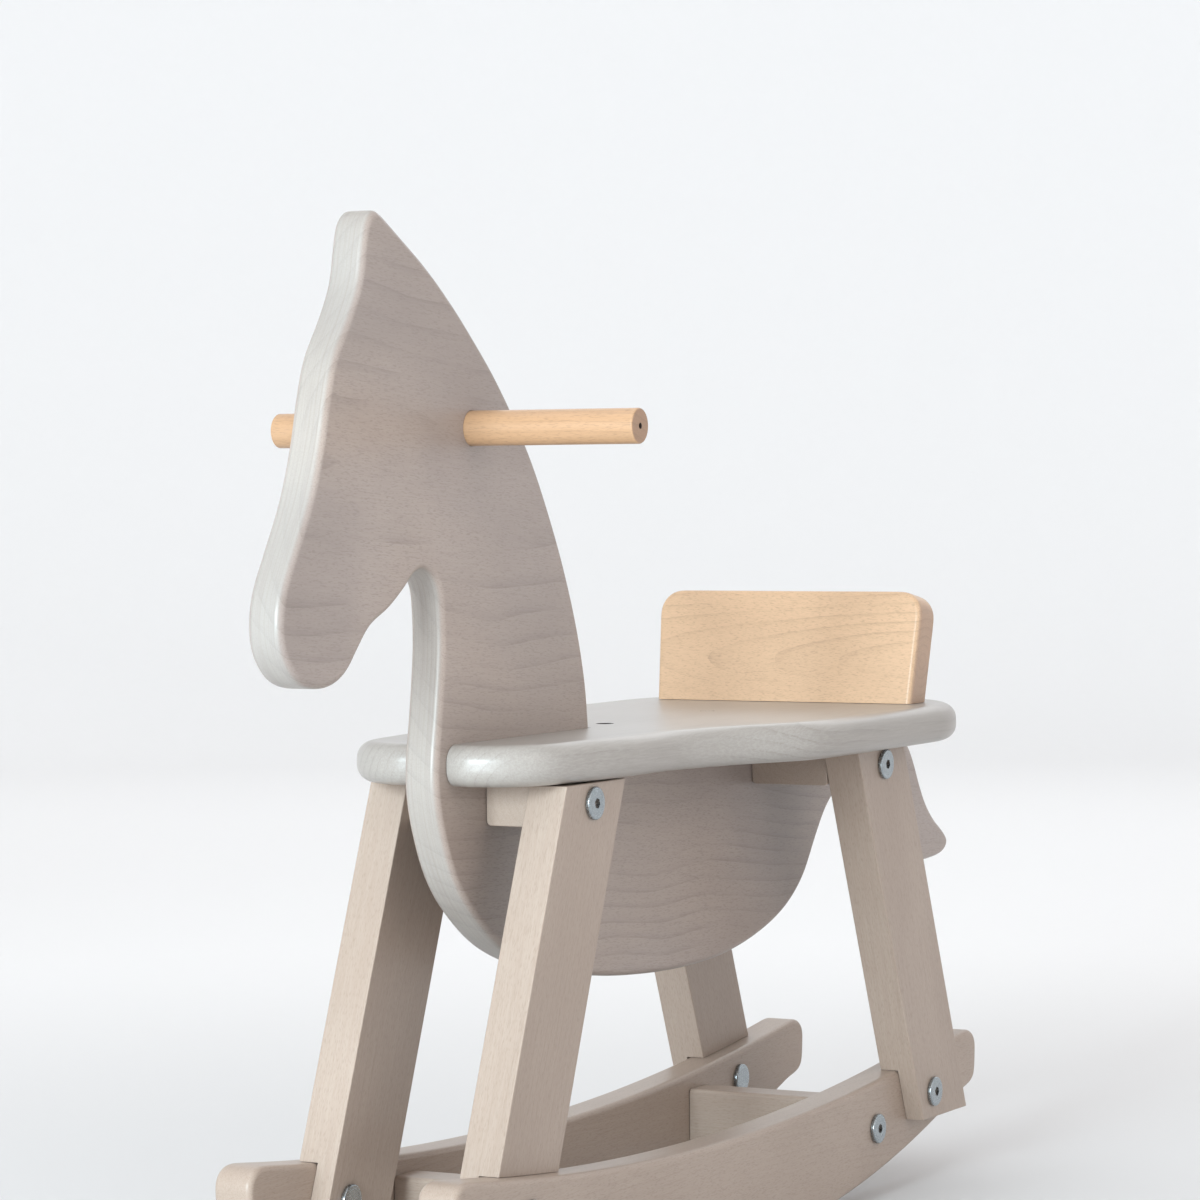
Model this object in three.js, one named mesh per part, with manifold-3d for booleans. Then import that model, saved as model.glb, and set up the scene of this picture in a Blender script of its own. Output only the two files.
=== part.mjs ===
// Rocking horse for a young child, in stained plywood and beech.
//
// Everything is in millimetres, with +Z up. The horse faces -Y and its left side is +X.
// The pieces are laid out round a datum: Y = 0 is the axis of the handle and Z = 0 is the top
// of the seat. The outer group moves that datum so that the origin ends up on the floor,
// below the middle of the whole horse.

import * as THREE from 'three';
import { mergeVertices } from 'three/addons/utils/BufferGeometryUtils.js';
import Module from 'manifold-3d';

const wasm = await Module();
wasm.setup();
const { Manifold } = wasm;

// ---------------------------------------------------------------- driving dimensions

const seatHeight = 350;        // floor to the top of the seat
const gap = 0.3;               // left between two pieces that touch
const bodyThickness = 24;      // plywood of the body board
const seatThickness = 26;
const stock = 27;              // planed board of the legs, blocks, rockers and rails
const noseY = -222;            // front end of the horse, the tip of the nose
const tailY = 730;             // rear end of the horse, the tip of the tail

const handle = { radius: 11, length: 260, height: 195, markRadius: 1.5, markDepth: 8 };
const seatSideX = 131;         // half the seat's width behind the rider's thighs
const seatEndY = 556;          // rear end of the seat
const seatCornerRadius = 105;
const neckY = 150;             // rear edge of the neck where it passes through the seat
const backrest = { y: 460, height: 80, bottomX: 101, topX: 104.5, cornerRadius: 18, round: 3 };
const backrestLean = THREE.MathUtils.degToRad(10.2);

const legWidth = 72;
const legLean = Math.tan(THREE.MathUtils.degToRad(21.4));
const legTopGap = 1;           // shadow gap between a leg's top and the seat
const legEndHeight = 50;       // lowest point of a leg above the floor
const blockDepth = 70;
// Both pairs of legs: where the leg bolt sits, where the block starts and the leg's inner face.
const pairs = {
  front: { boltY: 44, blockY: 12, innerX: 44, lean: -legLean },
  rear: { boltY: 422, blockY: 386, innerX: 71, lean: legLean },
};
const blockTopZ = -seatThickness - gap;
const boltZ = blockTopZ - stock / 2;

// The rocker stands under the middle of both pairs of legs and touches the floor at contactY.
const edgeBevel = 2;           // on the legs, blocks, rockers and rails
const rocker = { radius: 1150, topRadius: 2700, height: 76, halfLength: 380, endRadius: 16 };
const rockerArcSteps = 31;
const rockerTopSteps = 16;
const rockerEndBulge = 4;      // how far the rounded ends reach past the half length
const contactY = 229;
const rockerX = { inner: pairs.rear.innerX - stock / 2, outer: pairs.rear.innerX + stock / 2 };
const floorZ = -seatHeight;

const rail = { depth: stock, height: 42, bottom: 30, fromContact: 205, nutX: 32 };

const connector = { headRadius: 10.5, headHeight: 2.8, shankRadius: 4, edge: 0.8 };
const socket = { across: 6, depth: 4.5 };
const shankBore = connector.shankRadius + 0.4;
const threadGap = 0.3;         // between a bolt's shank and the nut round it
const sleeve = { radius: 5, boreRadius: 5.3, length: 22 };
const capNutBarrel = 12;
const barrelNut = { radius: 6, length: 18 };
const pin = { radius: 4, length: 24, inLeg: 9, edge: 1 };
const screw = { headRadius: 4.5, headHeight: 2.8, shankRadius: 2.2, boreRadius: 2.5, point: 4 };
const boltTipX = 3.3;          // a leg bolt's tip stops this far from the middle of the board
const boltTipGap = 3;          // between a rocker bolt's tip and the closed end of its nut

// The two screws from the seat down into the body board. The rear one is under a wooden plug.
const seatScrews = {
  front: { y: 192, holeRadius: 6, headDepth: 3 },
  rear: { y: 342, holeRadius: 5, headDepth: 3.5 },
};
const seatHoleDepth = 6;
const seatScrewLength = 55;
const seatScrewBoreEnd = -62;
const plug = { radius: 4.7, height: 3 };
const blockScrewBehindBolt = 20;
const blockScrewBite = 10;     // how far a block's screw reaches into the seat
const blockScrewSunk = 0.5;
const counterboreDepth = 5;
const lap = { height: 19, boltForward: 14, pinBack: 16 };

const over = 1;                // how far a cutter reaches past the face that it opens
const roundSteps = 16;
const handleSteps = 24;

const colours = {
  stainedPly: { color: 0xa39a90, roughness: 0.5, metalness: 0 },
  stainedSeat: { color: 0xb5b0aa, roughness: 0.35, metalness: 0 },
  stainedLeg: { color: 0xb3a79b, roughness: 0.5, metalness: 0 },
  beech: { color: 0xe0bd92, roughness: 0.5, metalness: 0 },
  zinc: { color: 0xb9bcc0, roughness: 0.3, metalness: 1 },
};

// ---------------------------------------------------------------- solids

function toSolid(geometry) {
  const bare = geometry.clone();
  bare.deleteAttribute('normal');
  bare.deleteAttribute('uv');
  const merged = mergeVertices(bare, 1e-4);
  const triVerts = new Uint32Array(merged.index.array);
  const vertProperties = new Float32Array(merged.attributes.position.array);
  return new Manifold(new wasm.Mesh({ numProp: 3, vertProperties, triVerts }));
}

function toGeometry(solid) {
  const mesh = solid.getMesh();
  const geometry = new THREE.BufferGeometry();
  geometry.setAttribute('position', new THREE.BufferAttribute(mesh.vertProperties, 3));
  geometry.setIndex(new THREE.BufferAttribute(mesh.triVerts, 1));
  geometry.computeVertexNormals();
  return geometry;
}

// The outline's points with no point twice in a row, because a doubled point leaves a flat side.
function withoutDoubles(shape, curveSegments) {
  const points = shape.getPoints(curveSegments);
  const last = points.length - 1;
  const kept = points.filter((point, i) => point.distanceTo(points[i === 0 ? last : i - 1]) > 1e-4);
  return new THREE.Shape(kept);
}

// A plate between two heights, from a plan outline in X and Y. The edge is rounded by `round`.
function plateAlongZ(shape, z0, z1, round, roundLayers, curveSegments = 8) {
  const geometry = new THREE.ExtrudeGeometry(withoutDoubles(shape, curveSegments), {
    depth: z1 - z0 - 2 * round,
    bevelEnabled: round > 0,
    bevelThickness: round,
    bevelSize: round,
    bevelOffset: -round,
    bevelSegments: roundLayers,
  });
  geometry.translate(0, 0, z0 + round);
  return geometry;
}

// The same, for a plate seen from the side: the outline is in Y and Z, and it runs along X.
const sideways = new THREE.Matrix4().makeBasis(
  new THREE.Vector3(0, 1, 0),
  new THREE.Vector3(0, 0, 1),
  new THREE.Vector3(1, 0, 0),
);

function plateAlongX(shape, x0, x1, round, roundLayers, curveSegments) {
  const geometry = plateAlongZ(shape, x0, x1, round, roundLayers, curveSegments);
  return geometry.applyMatrix4(sideways);
}

function boreX(radius, x0, x1, y, z, steps = roundSteps) {
  const geometry = new THREE.CylinderGeometry(radius, radius, Math.abs(x1 - x0), steps);
  geometry.rotateZ(Math.PI / 2);
  return toSolid(geometry.translate((x0 + x1) / 2, y, z));
}

function boreZ(radius, z0, z1, x, y) {
  const geometry = new THREE.CylinderGeometry(radius, radius, Math.abs(z1 - z0), roundSteps);
  geometry.rotateX(Math.PI / 2);
  return toSolid(geometry.translate(x, y, (z0 + z1) / 2));
}

// A turned piece: the profile is [radius, distance] pairs, and the distance runs along +X.
function turnedAlongX(profile, steps = roundSteps) {
  const points = profile.map(([radius, along]) => new THREE.Vector2(radius, along));
  const geometry = new THREE.LatheGeometry(points, steps);
  return geometry.rotateZ(-Math.PI / 2);
}

function turnedAlongZ(profile) {
  const points = profile.map(([radius, along]) => new THREE.Vector2(radius, along));
  return new THREE.LatheGeometry(points, roundSteps).rotateX(Math.PI / 2);
}

function vectors(pairsOfNumbers) {
  return pairsOfNumbers.map(([a, b]) => new THREE.Vector2(a, b));
}

function rectangle(u0, u1, v0, v1) {
  return new THREE.Shape(vectors([[u0, v0], [u1, v0], [u1, v1], [u0, v1]]));
}

// ---------------------------------------------------------------- body board

// The horse's silhouette in Y and Z, cut from one plywood board: head, neck, chest, belly and
// tail. Each list runs on from the end of the one before, anticlockwise seen from +X.
const earTip = [-111, 326];
const foreheadAndNose = [
  [-121, 318], [-126, 301], [-131, 280], [-144, 258], [-159, 237], [-168, 213], [-176, 183],
  [-188, 152], [-206, 121], [-218, 99.5], [noseY, 79.5], [-218, 62], [-203, 47],
];
const jawAndThroat = [
  [-182, 42], [-163, 43], [-148, 50], [-137, 61], [-121, 76], [-99, 86], [-80, 98],
  [-70, 106], [-58, 109], [-46, 103], [-40, 91],
];
const chestAndBelly = [
  [-38.5, 60], [-43, 22], [-48, -10], [-47.5, -33], [-40, -58], [-26, -85], [-4, -108],
  [34, -133], [90, -152], [160, -164], [225, -170], [285, -172], [340, -170], [392, -162],
  [438, -148], [470, -128], [493, -100], [510, -81], [530, -67],
];
const tailUnderside = [
  [550, -61], [571, -64], [594, -79], [616, -102], [634, -123], [652, -133], [687, -133.5],
  [720, -130.5], [tailY, -122],
];
const tailTop = [[720, -112], [705, -103], [690, -90], [678, -74], [668, -57], [656, -42], [636, -32]];
const mane = [
  [146, 30], [136, 65], [121, 101], [102.5, 136], [80.5, 171], [57, 200.5], [31, 228],
  [5, 251], [-21, 272], [-51, 293], [-84, 312], [-102, 322], earTip,
];

function bodyOutline() {
  const shape = new THREE.Shape();
  shape.moveTo(...earTip);
  shape.splineThru(vectors([...foreheadAndNose, ...jawAndThroat, ...chestAndBelly]));
  shape.splineThru(vectors([...tailUnderside, ...tailTop, [600, blockTopZ]]));
  shape.lineTo(neckY, blockTopZ);
  shape.lineTo(neckY, 0);
  shape.splineThru(vectors(mane));
  return shape;
}

function bodyBoard() {
  const half = bodyThickness / 2;
  const [x0, x1] = [-half - over, half + over];
  let solid = toSolid(plateAlongX(bodyOutline(), -half, half, 3, 1, 3));
  solid = solid.subtract(boreX(handle.radius + gap, x0, x1, 0, handle.height, handleSteps));
  for (const { boltY } of Object.values(pairs)) {
    solid = solid.subtract(boreX(sleeve.boreRadius, x0, x1, boltY, boltZ));
  }
  for (const { y } of Object.values(seatScrews)) {
    solid = solid.subtract(boreZ(screw.boreRadius, seatScrewBoreEnd, -seatThickness, 0, y));
  }
  return toGeometry(solid);
}

// ---------------------------------------------------------------- seat

// Half of the seat's plan in X and Y, from its front on the centre line round to the rear.
const seatFront = [[8, -32], [16, -37], [26, -38.5], [42, -34], [56, -26], [67, -13], [73, 4]];
const seatWaist = [[77, 30], [80.5, 55], [83, 85], [83.5, 115], [85, 143], [96, 186], [111, 221]];
const seatHip = [[119, 238], [125.5, 257], [129.5, 285], [seatSideX, 325]];

const seatFrontMiddle = [0, -28];

function seatOutline() {
  const right = [...seatFront, ...seatWaist, ...seatHip];
  const left = right.map(([x, y]) => [-x, y]).reverse();
  const cornerX = seatSideX - seatCornerRadius;
  const cornerY = seatEndY - seatCornerRadius;
  const shape = new THREE.Shape();
  shape.moveTo(...seatFrontMiddle);
  shape.splineThru(vectors(right));
  shape.lineTo(seatSideX, cornerY);
  shape.absarc(cornerX, cornerY, seatCornerRadius, 0, Math.PI / 2);
  shape.absarc(-cornerX, cornerY, seatCornerRadius, Math.PI / 2, Math.PI);
  shape.lineTo(...left[0]);
  shape.splineThru(vectors([...left.slice(1), seatFrontMiddle]));
  return shape;
}

function seatBoard() {
  const below = -seatThickness - over;
  const slotHalf = bodyThickness / 2 + gap;
  const slotLength = 2 * neckY;
  const slot = new THREE.BoxGeometry(2 * slotHalf, slotLength, 3 * seatThickness);
  const headBore = screw.headRadius + gap;
  const headBoreEnd = backrestScrewHeadZ + screw.headHeight;
  let solid = toSolid(plateAlongZ(seatOutline(), -seatThickness, 0, 12, 3, 2));
  solid = solid.subtract(toSolid(slot.translate(0, neckY + gap - slotLength / 2, 0)));
  for (const { y, holeRadius } of Object.values(seatScrews)) {
    solid = solid.subtract(boreZ(holeRadius, -seatHoleDepth, over, 0, y));
    solid = solid.subtract(boreZ(screw.boreRadius, below, over - seatHoleDepth, 0, y));
  }
  for (const [x, y] of blockScrewSpots()) {
    solid = solid.subtract(boreZ(screw.boreRadius, below, blockScrewTipZ + over, x, y));
  }
  for (const [x, y] of backrestScrewSpots()) {
    solid = solid.subtract(boreZ(screw.boreRadius, below, over, x, y));
    solid = solid.subtract(boreZ(headBore, below, headBoreEnd, x, y));
  }
  return toGeometry(solid);
}

// ---------------------------------------------------------------- backrest

// The front face passes through y at the seat's top, and its top edge is `height` above the seat.
function backrestBoard() {
  const { height, bottomX, topX, cornerRadius, y, round } = backrest;
  const thicknessRise = stock * Math.sin(backrestLean);
  const top = (height - thicknessRise) / Math.cos(backrestLean);
  const foot = -2 * thicknessRise;
  const shape = new THREE.Shape();
  shape.moveTo(-bottomX, foot);
  shape.lineTo(bottomX, foot);
  shape.lineTo(topX, top - cornerRadius);
  shape.quadraticCurveTo(topX, top, topX - cornerRadius, top);
  shape.lineTo(-topX + cornerRadius, top);
  shape.quadraticCurveTo(-topX, top, -topX, top - cornerRadius);
  shape.closePath();
  const geometry = plateAlongZ(shape, 0, stock, round, 2, 8);
  geometry.rotateX(Math.PI / 2 - backrestLean);
  geometry.translate(0, y + stock / Math.cos(backrestLean), 0);
  // The bottom edge is planed level, so that the leaning board stands flat on the seat.
  let solid = toSolid(geometry).trimByPlane([0, 0, 1], gap);
  for (const [x, spotY] of backrestScrewSpots()) {
    solid = solid.subtract(boreZ(screw.boreRadius, -over, backrestScrewTipZ + over, x, spotY));
  }
  return toGeometry(solid);
}

const backrestScrewHeadZ = -seatThickness + 4;
const backrestScrewTipZ = 30;

function backrestScrewSpots() {
  const y = backrest.y + stock / 2 + 2;
  return [[60, y], [-60, y]];
}

// ---------------------------------------------------------------- handle

function handleRod() {
  const { radius, length, markRadius, markDepth } = handle;
  const edge = 1;
  const half = length / 2;
  const profile = [[0, -half], [radius - edge, -half], [radius, -half + edge]];
  profile.push([radius, half - edge], [radius - edge, half], [0, half]);
  let solid = toSolid(turnedAlongX(profile, handleSteps));
  solid = solid.subtract(boreX(markRadius, half - markDepth, half + over, 0, 0));
  solid = solid.subtract(boreX(markRadius, -half - over, -half + markDepth, 0, 0));
  return toGeometry(solid);
}

// ---------------------------------------------------------------- blocks between board and legs

const blockScrewTipZ = -seatThickness + blockScrewBite;

// A block's inner end, outer end and the X of its screw, on the horse's left side.
function blockSpan(pair) {
  const start = bodyThickness / 2 + gap;
  const end = pair.innerX - gap;
  return { start, end, screwX: (start + end) / 2 };
}

function blockScrewSpots() {
  const spots = [];
  for (const pair of Object.values(pairs)) {
    const { screwX } = blockSpan(pair);
    const y = pair.boltY + blockScrewBehindBolt;
    spots.push([screwX, y], [-screwX, y]);
  }
  return spots;
}

function spacerBlock(pair) {
  const bottomZ = blockTopZ - stock;
  const { start, end, screwX } = blockSpan(pair);
  const shape = rectangle(pair.blockY, pair.blockY + blockDepth, bottomZ, blockTopZ);
  let solid = toSolid(plateAlongX(shape, start, end, edgeBevel, 1));
  solid = solid.subtract(boreX(shankBore, start - over, end + over, pair.boltY, boltZ));
  const screwY = pair.boltY + blockScrewBehindBolt;
  const headBore = screw.headRadius + gap;
  const headBoreEnd = bottomZ + counterboreDepth;
  solid = solid.subtract(boreZ(screw.boreRadius, bottomZ - over, blockTopZ + over, screwX, screwY));
  solid = solid.subtract(boreZ(headBore, bottomZ - over, headBoreEnd, screwX, screwY));
  return toGeometry(solid);
}

// ---------------------------------------------------------------- rockers

// Height of the rocker's top edge above the floor at a distance from the contact point.
function rockerTop(distance) {
  return rocker.height + (distance * distance) / (2 * rocker.topRadius);
}

// The lower edge is an arc in flat steps. Their number is odd, so that one step lies flat on
// the floor, straight below the middle.
function rockerOutline() {
  const { radius, halfLength, endRadius } = rocker;
  const halfAngle = Math.asin(halfLength / radius);
  const step = (2 * halfAngle) / rockerArcSteps;
  const centreZ = floorZ + radius * Math.cos(step / 2);
  const lower = [];
  for (let i = 0; i <= rockerArcSteps; i += 1) {
    const angle = -halfAngle + i * step;
    const y = contactY + radius * Math.sin(angle);
    lower.push(new THREE.Vector2(y, centreZ - radius * Math.cos(angle)));
  }
  const endTopZ = floorZ + rockerTop(halfLength);
  const rearY = contactY + halfLength + rockerEndBulge;
  const frontY = contactY - halfLength - rockerEndBulge;
  const topReach = halfLength - endRadius;
  const shape = new THREE.Shape();
  shape.setFromPoints(lower);
  shape.lineTo(rearY, endTopZ - endRadius);
  shape.quadraticCurveTo(rearY, endTopZ, contactY + topReach, floorZ + rockerTop(topReach));
  for (let i = 1; i <= rockerTopSteps; i += 1) {
    const distance = topReach * (1 - (2 * i) / rockerTopSteps);
    shape.lineTo(contactY + distance, floorZ + rockerTop(distance));
  }
  shape.quadraticCurveTo(frontY, endTopZ, frontY, endTopZ - endRadius);
  shape.closePath();
  return shape;
}

// Where the bolt and the wooden pin of one lap joint sit, in Y and Z.
function lapSpots(pair) {
  const z = floorZ + legEndHeight + lap.height;
  const legY = pair.boltY + pair.lean * (boltZ - z);
  return { bolt: [legY - lap.boltForward, z], pin: [legY + lap.pinBack, z] };
}

function railSpots() {
  const z = floorZ + rail.bottom + rail.height / 2;
  return [[contactY - rail.fromContact, z], [contactY + rail.fromContact, z]];
}

function rockerBoard() {
  const { inner, outer } = rockerX;
  let solid = toSolid(plateAlongX(rockerOutline(), inner, outer, edgeBevel, 1, 4));
  for (const [name, pair] of Object.entries(pairs)) {
    const { bolt, pin: pinSpot } = lapSpots(pair);
    const boltRadius = name === 'rear' ? sleeve.boreRadius : shankBore;
    const depth = pin.length - pin.inLeg + gap;
    const pinStart = name === 'front' ? inner - over : outer - depth;
    const pinEnd = name === 'front' ? inner + depth : outer + over;
    solid = solid.subtract(boreX(boltRadius, inner - over, outer + over, ...bolt));
    solid = solid.subtract(boreX(pin.radius + gap, pinStart, pinEnd, ...pinSpot));
  }
  for (const [y, z] of railSpots()) {
    solid = solid.subtract(boreX(shankBore, inner - over, outer + over, y, z));
  }
  return toGeometry(solid);
}

// ---------------------------------------------------------------- legs

// A leg's lower end is halved where it laps the rocker: the front legs lie against its inner
// face and the rear legs against its outer face, with the shoulder on the rocker's top edge.
function leg(name, pair) {
  const topZ = -seatThickness - legTopGap;
  const bottomZ = floorZ + legEndHeight;
  const halfWidth = (legWidth / 2) * Math.hypot(1, pair.lean);
  const centreAt = (z) => pair.boltY + pair.lean * (boltZ - z);
  const shape = new THREE.Shape();
  shape.moveTo(centreAt(bottomZ) - halfWidth, bottomZ);
  shape.lineTo(centreAt(bottomZ) + halfWidth, bottomZ);
  shape.lineTo(centreAt(topZ) + halfWidth, topZ);
  shape.lineTo(centreAt(topZ) - halfWidth, topZ);
  shape.closePath();
  const x0 = pair.innerX;
  const x1 = x0 + stock;
  let solid = toSolid(plateAlongX(shape, x0, x1, edgeBevel, 1));
  solid = solid.subtract(lapCutter(name));
  solid = solid.subtract(boreX(shankBore, x0 - over, x1 + over, pair.boltY, boltZ));
  const { bolt, pin: pinSpot } = lapSpots(pair);
  const boltRadius = name === 'rear' ? shankBore : sleeve.boreRadius;
  solid = solid.subtract(boreX(boltRadius, x0 - over, x1 + over, ...bolt));
  const lapFace = name === 'front' ? rockerX.inner - gap : rockerX.outer + gap;
  const into = name === 'front' ? -1 : 1;
  const pinEnd = lapFace + into * pin.inLeg;
  solid = solid.subtract(boreX(pin.radius + gap, lapFace - into * over, pinEnd, ...pinSpot));
  return toGeometry(solid);
}

// The space under the rocker's top edge, on the side of the leg that the rocker takes up.
function lapCutter(name) {
  const x0 = name === 'front' ? rockerX.inner - gap : pairs.rear.innerX - over;
  const x1 = name === 'front' ? pairs.front.innerX + stock + over : rockerX.outer + gap;
  const steps = 24;
  const points = [];
  for (let i = 0; i <= steps; i += 1) {
    const distance = rocker.halfLength * (1 - (2 * i) / steps);
    points.push([contactY + distance, floorZ + rockerTop(distance) + gap]);
  }
  points.push([contactY - rocker.halfLength, floorZ], [contactY + rocker.halfLength, floorZ]);
  return toSolid(plateAlongX(new THREE.Shape(vectors(points)), x0, x1, 0, 1));
}

// ---------------------------------------------------------------- cross rails

function crossRail(y, z) {
  const half = rockerX.inner - gap;
  const bottomZ = z - rail.height / 2;
  const nutBore = barrelNut.radius + gap;
  const nutBoreEnd = z + barrelNut.length / 2 + gap;
  const shape = rectangle(y - rail.depth / 2, y + rail.depth / 2, bottomZ, z + rail.height / 2);
  let solid = toSolid(plateAlongX(shape, -half, half, edgeBevel, 1));
  for (const side of [-1, 1]) {
    const nutX = side * rail.nutX;
    solid = solid.subtract(boreX(shankBore, nutX, side * (half + over), y, z));
    solid = solid.subtract(boreZ(nutBore, bottomZ - over, nutBoreEnd, nutX, y));
  }
  return toGeometry(solid);
}

// ---------------------------------------------------------------- fasteners

// A flat-headed connector bolt along +X with its head's inner face at x = 0.
function connectorBolt(shankLength) {
  const { headRadius, headHeight, shankRadius, edge } = connector;
  const tip = -shankLength;
  const profile = [[0, tip], [shankRadius - edge, tip], [shankRadius, tip + edge]];
  profile.push([shankRadius, 0], [headRadius, 0], [headRadius, headHeight - edge]);
  profile.push([headRadius - edge, headHeight], [0, headHeight]);
  const hexRadius = socket.across / Math.sqrt(3);
  const hex = boreX(hexRadius, headHeight - socket.depth, headHeight + over, 0, 0, 6);
  return toGeometry(toSolid(turnedAlongX(profile)).subtract(hex));
}

// An open tube that takes the tips of two bolts.
function sleeveNut() {
  const { radius, length } = sleeve;
  const bore = connector.shankRadius + threadGap;
  const half = length / 2;
  return turnedAlongX([[bore, -half], [radius, -half], [radius, half], [bore, half], [bore, -half]]);
}

// A flanged nut whose flange closes its outer end and starts at x = 0. Its barrel runs along -X.
function capNut() {
  const { headRadius, headHeight, shankRadius, edge } = connector;
  const bore = shankRadius + threadGap;
  const boreEnd = -1;
  return turnedAlongX([
    [0, boreEnd], [bore, boreEnd], [bore, -capNutBarrel], [sleeve.radius, -capNutBarrel],
    [sleeve.radius, 0], [headRadius, 0], [headRadius, headHeight - edge],
    [headRadius - edge, headHeight], [0, headHeight],
  ]);
}

function railNut() {
  const { radius, length } = barrelNut;
  const solid = boreZ(radius, -length / 2, length / 2, 0, 0);
  const thread = boreX(connector.shankRadius + threadGap, -radius - over, radius + over, 0, 0);
  return toGeometry(solid.subtract(thread));
}

function woodenPin() {
  const { radius, length, edge } = pin;
  const half = length / 2;
  return turnedAlongX([
    [0, -half], [radius - edge, -half], [radius, -half + edge],
    [radius, half - edge], [radius - edge, half], [0, half],
  ]);
}

// The short wooden plug that closes the rear screw hole, flush with the seat.
function seatPlug() {
  return turnedAlongZ([[0, -plug.height], [plug.radius, -plug.height], [plug.radius, 0], [0, 0]]);
}

// A countersunk wood screw with its tip upwards at z = length and its head's face at z = 0.
function woodScrew(length) {
  const { headRadius, headHeight, shankRadius, point } = screw;
  const rim = 0.4;
  return turnedAlongZ([
    [0, 0], [headRadius, 0], [headRadius, rim], [shankRadius, headHeight],
    [shankRadius, length - point], [0, length],
  ]);
}

// ---------------------------------------------------------------- assembly

const horse = new THREE.Group();
horse.position.set(0, -(noseY + tailY) / 2, seatHeight);

function add(name, geometry, look, position = [0, 0, 0]) {
  const mesh = new THREE.Mesh(geometry, new THREE.MeshStandardMaterial(colours[look]));
  mesh.name = name;
  mesh.position.set(...position);
  horse.add(mesh);
  return mesh;
}

function mirrored(geometry) {
  return toGeometry(toSolid(geometry).mirror([1, 0, 0]));
}

// A piece of the left side and its mirror image on the right side.
function addBothSides(name, geometry, look) {
  add(`${name}_left`, geometry, look);
  add(`${name}_right`, mirrored(geometry), look);
}

// A turned fastener on both sides. It is modelled pointing out along +X, and `turned` puts it
// the other way round.
function addFastenerPair(name, geometry, look, [x, y, z], turned = false) {
  for (const [sideName, side] of [['left', 1], ['right', -1]]) {
    const mesh = add(`${name}_${sideName}`, geometry, look, [side * x, y, z]);
    mesh.rotation.z = (side > 0) === turned ? Math.PI : 0;
  }
}

add('body_board', bodyBoard(), 'stainedPly');
add('seat_board', seatBoard(), 'stainedSeat');
add('backrest', backrestBoard(), 'beech');
add('handle_rod', handleRod(), 'beech', [0, 0, handle.height]);
addBothSides('rocker', rockerBoard(), 'stainedLeg');

for (const [name, pair] of Object.entries(pairs)) {
  const legOuterX = pair.innerX + stock;
  addBothSides(`${name}_leg`, leg(name, pair), 'stainedLeg');
  addBothSides(`${name}_block`, spacerBlock(pair), 'stainedLeg');

  const boltHeadX = legOuterX + gap;
  const legBolt = connectorBolt(boltHeadX - boltTipX);
  addFastenerPair(`${name}_leg_bolt`, legBolt, 'zinc', [boltHeadX, pair.boltY, boltZ]);
  add(`${name}_leg_sleeve_nut`, sleeveNut(), 'zinc', [0, pair.boltY, boltZ]);

  const { bolt, pin: pinSpot } = lapSpots(pair);
  const lapOuterX = Math.max(legOuterX, rockerX.outer) + gap;
  const lapInnerX = Math.min(pair.innerX, rockerX.inner) - gap;
  const rockerBolt = connectorBolt(lapOuterX - lapInnerX - boltTipGap);
  addFastenerPair(`${name}_rocker_bolt`, rockerBolt, 'zinc', [lapOuterX, ...bolt]);
  addFastenerPair(`${name}_rocker_nut`, capNut(), 'zinc', [lapInnerX, ...bolt], true);
  const pinOffset = pin.length / 2 - pin.inLeg;
  const pinX = name === 'front' ? rockerX.inner + pinOffset : rockerX.outer - pinOffset;
  addFastenerPair(`${name}_rocker_pin`, woodenPin(), 'beech', [pinX, ...pinSpot]);
}

railSpots().forEach(([y, z], index) => {
  const name = index === 0 ? 'front_rail' : 'rear_rail';
  const headX = rockerX.outer + gap;
  const railBolt = connectorBolt(headX - rail.nutX + barrelNut.radius / 2);
  add(name, crossRail(y, z), 'stainedLeg');
  addFastenerPair(`${name}_bolt`, railBolt, 'zinc', [headX, y, z]);
  addFastenerPair(`${name}_nut`, railNut(), 'zinc', [rail.nutX, y, z]);
});

const blockScrewHeadZ = blockTopZ - stock + blockScrewSunk;
const blockScrew = woodScrew(blockScrewTipZ - blockScrewHeadZ);
blockScrewSpots().forEach(([x, y], index) => {
  const name = `${index < 2 ? 'front' : 'rear'}_block_screw_${x > 0 ? 'left' : 'right'}`;
  add(name, blockScrew, 'zinc', [x, y, blockScrewHeadZ]);
});
backrestScrewSpots().forEach(([x, y]) => {
  const name = `backrest_screw_${x > 0 ? 'left' : 'right'}`;
  add(name, woodScrew(backrestScrewTipZ - backrestScrewHeadZ), 'zinc', [x, y, backrestScrewHeadZ]);
});
for (const [name, { y, headDepth }] of Object.entries(seatScrews)) {
  const screwMesh = add(`seat_screw_${name}`, woodScrew(seatScrewLength), 'zinc', [0, y, -headDepth]);
  screwMesh.rotation.x = Math.PI;
}
add('seat_plug', seatPlug(), 'stainedSeat', [0, seatScrews.rear.y, 0]);

export default horse;
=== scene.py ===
"""Looks of the rocking horse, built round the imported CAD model.

Metres, +Z up. The horse faces -Y and its left side is +X. Every piece takes its place and its
outline from the CAD node that it stands for.
"""

import math

import bmesh
import bpy
from mathutils import Euler, Matrix, Vector


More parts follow.
